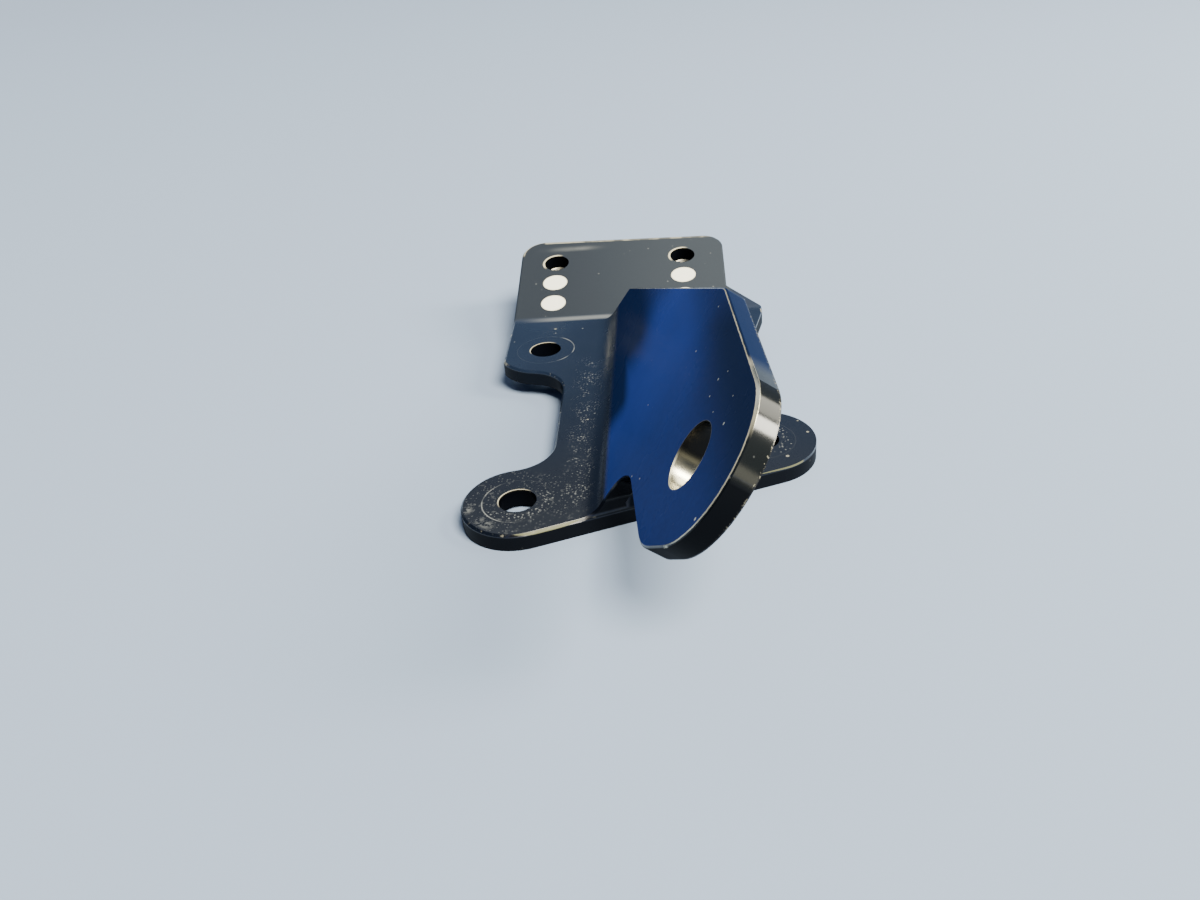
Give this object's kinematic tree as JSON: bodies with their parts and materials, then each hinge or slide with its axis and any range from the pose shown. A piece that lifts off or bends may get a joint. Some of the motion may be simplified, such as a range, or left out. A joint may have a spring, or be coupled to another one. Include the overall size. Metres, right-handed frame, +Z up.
{
  "type": "gas strut bracket",
  "caption": "Machined gas strut bracket: lobed foot plate, leaning ear with a ball stud hole, raised rear plate with riveted anchor nuts.",
  "frame": {"origin": "axis of the left front bolt hole, at the underside of the foot plate", "axes": "+Z up out of the foot plate, +X to the right across the foot, +Y back towards the raised rear plate"},
  "size_m": [0.0464, 0.1063, 0.0321],
  "materials": {
    "coated_body": "black coated, semi gloss, worn to bare metal at the edges",
    "nut_steel": "plated, dull",
    "rivet_alloy": "satin"
  },
  "bodies": {
    "root": {"bracket_body": "coated_body", "anchor_nut_left": "nut_steel", "anchor_nut_right": "nut_steel", "rivets_left": "rivet_alloy", "rivets_right": "rivet_alloy"}
  },
  "joints": []
}
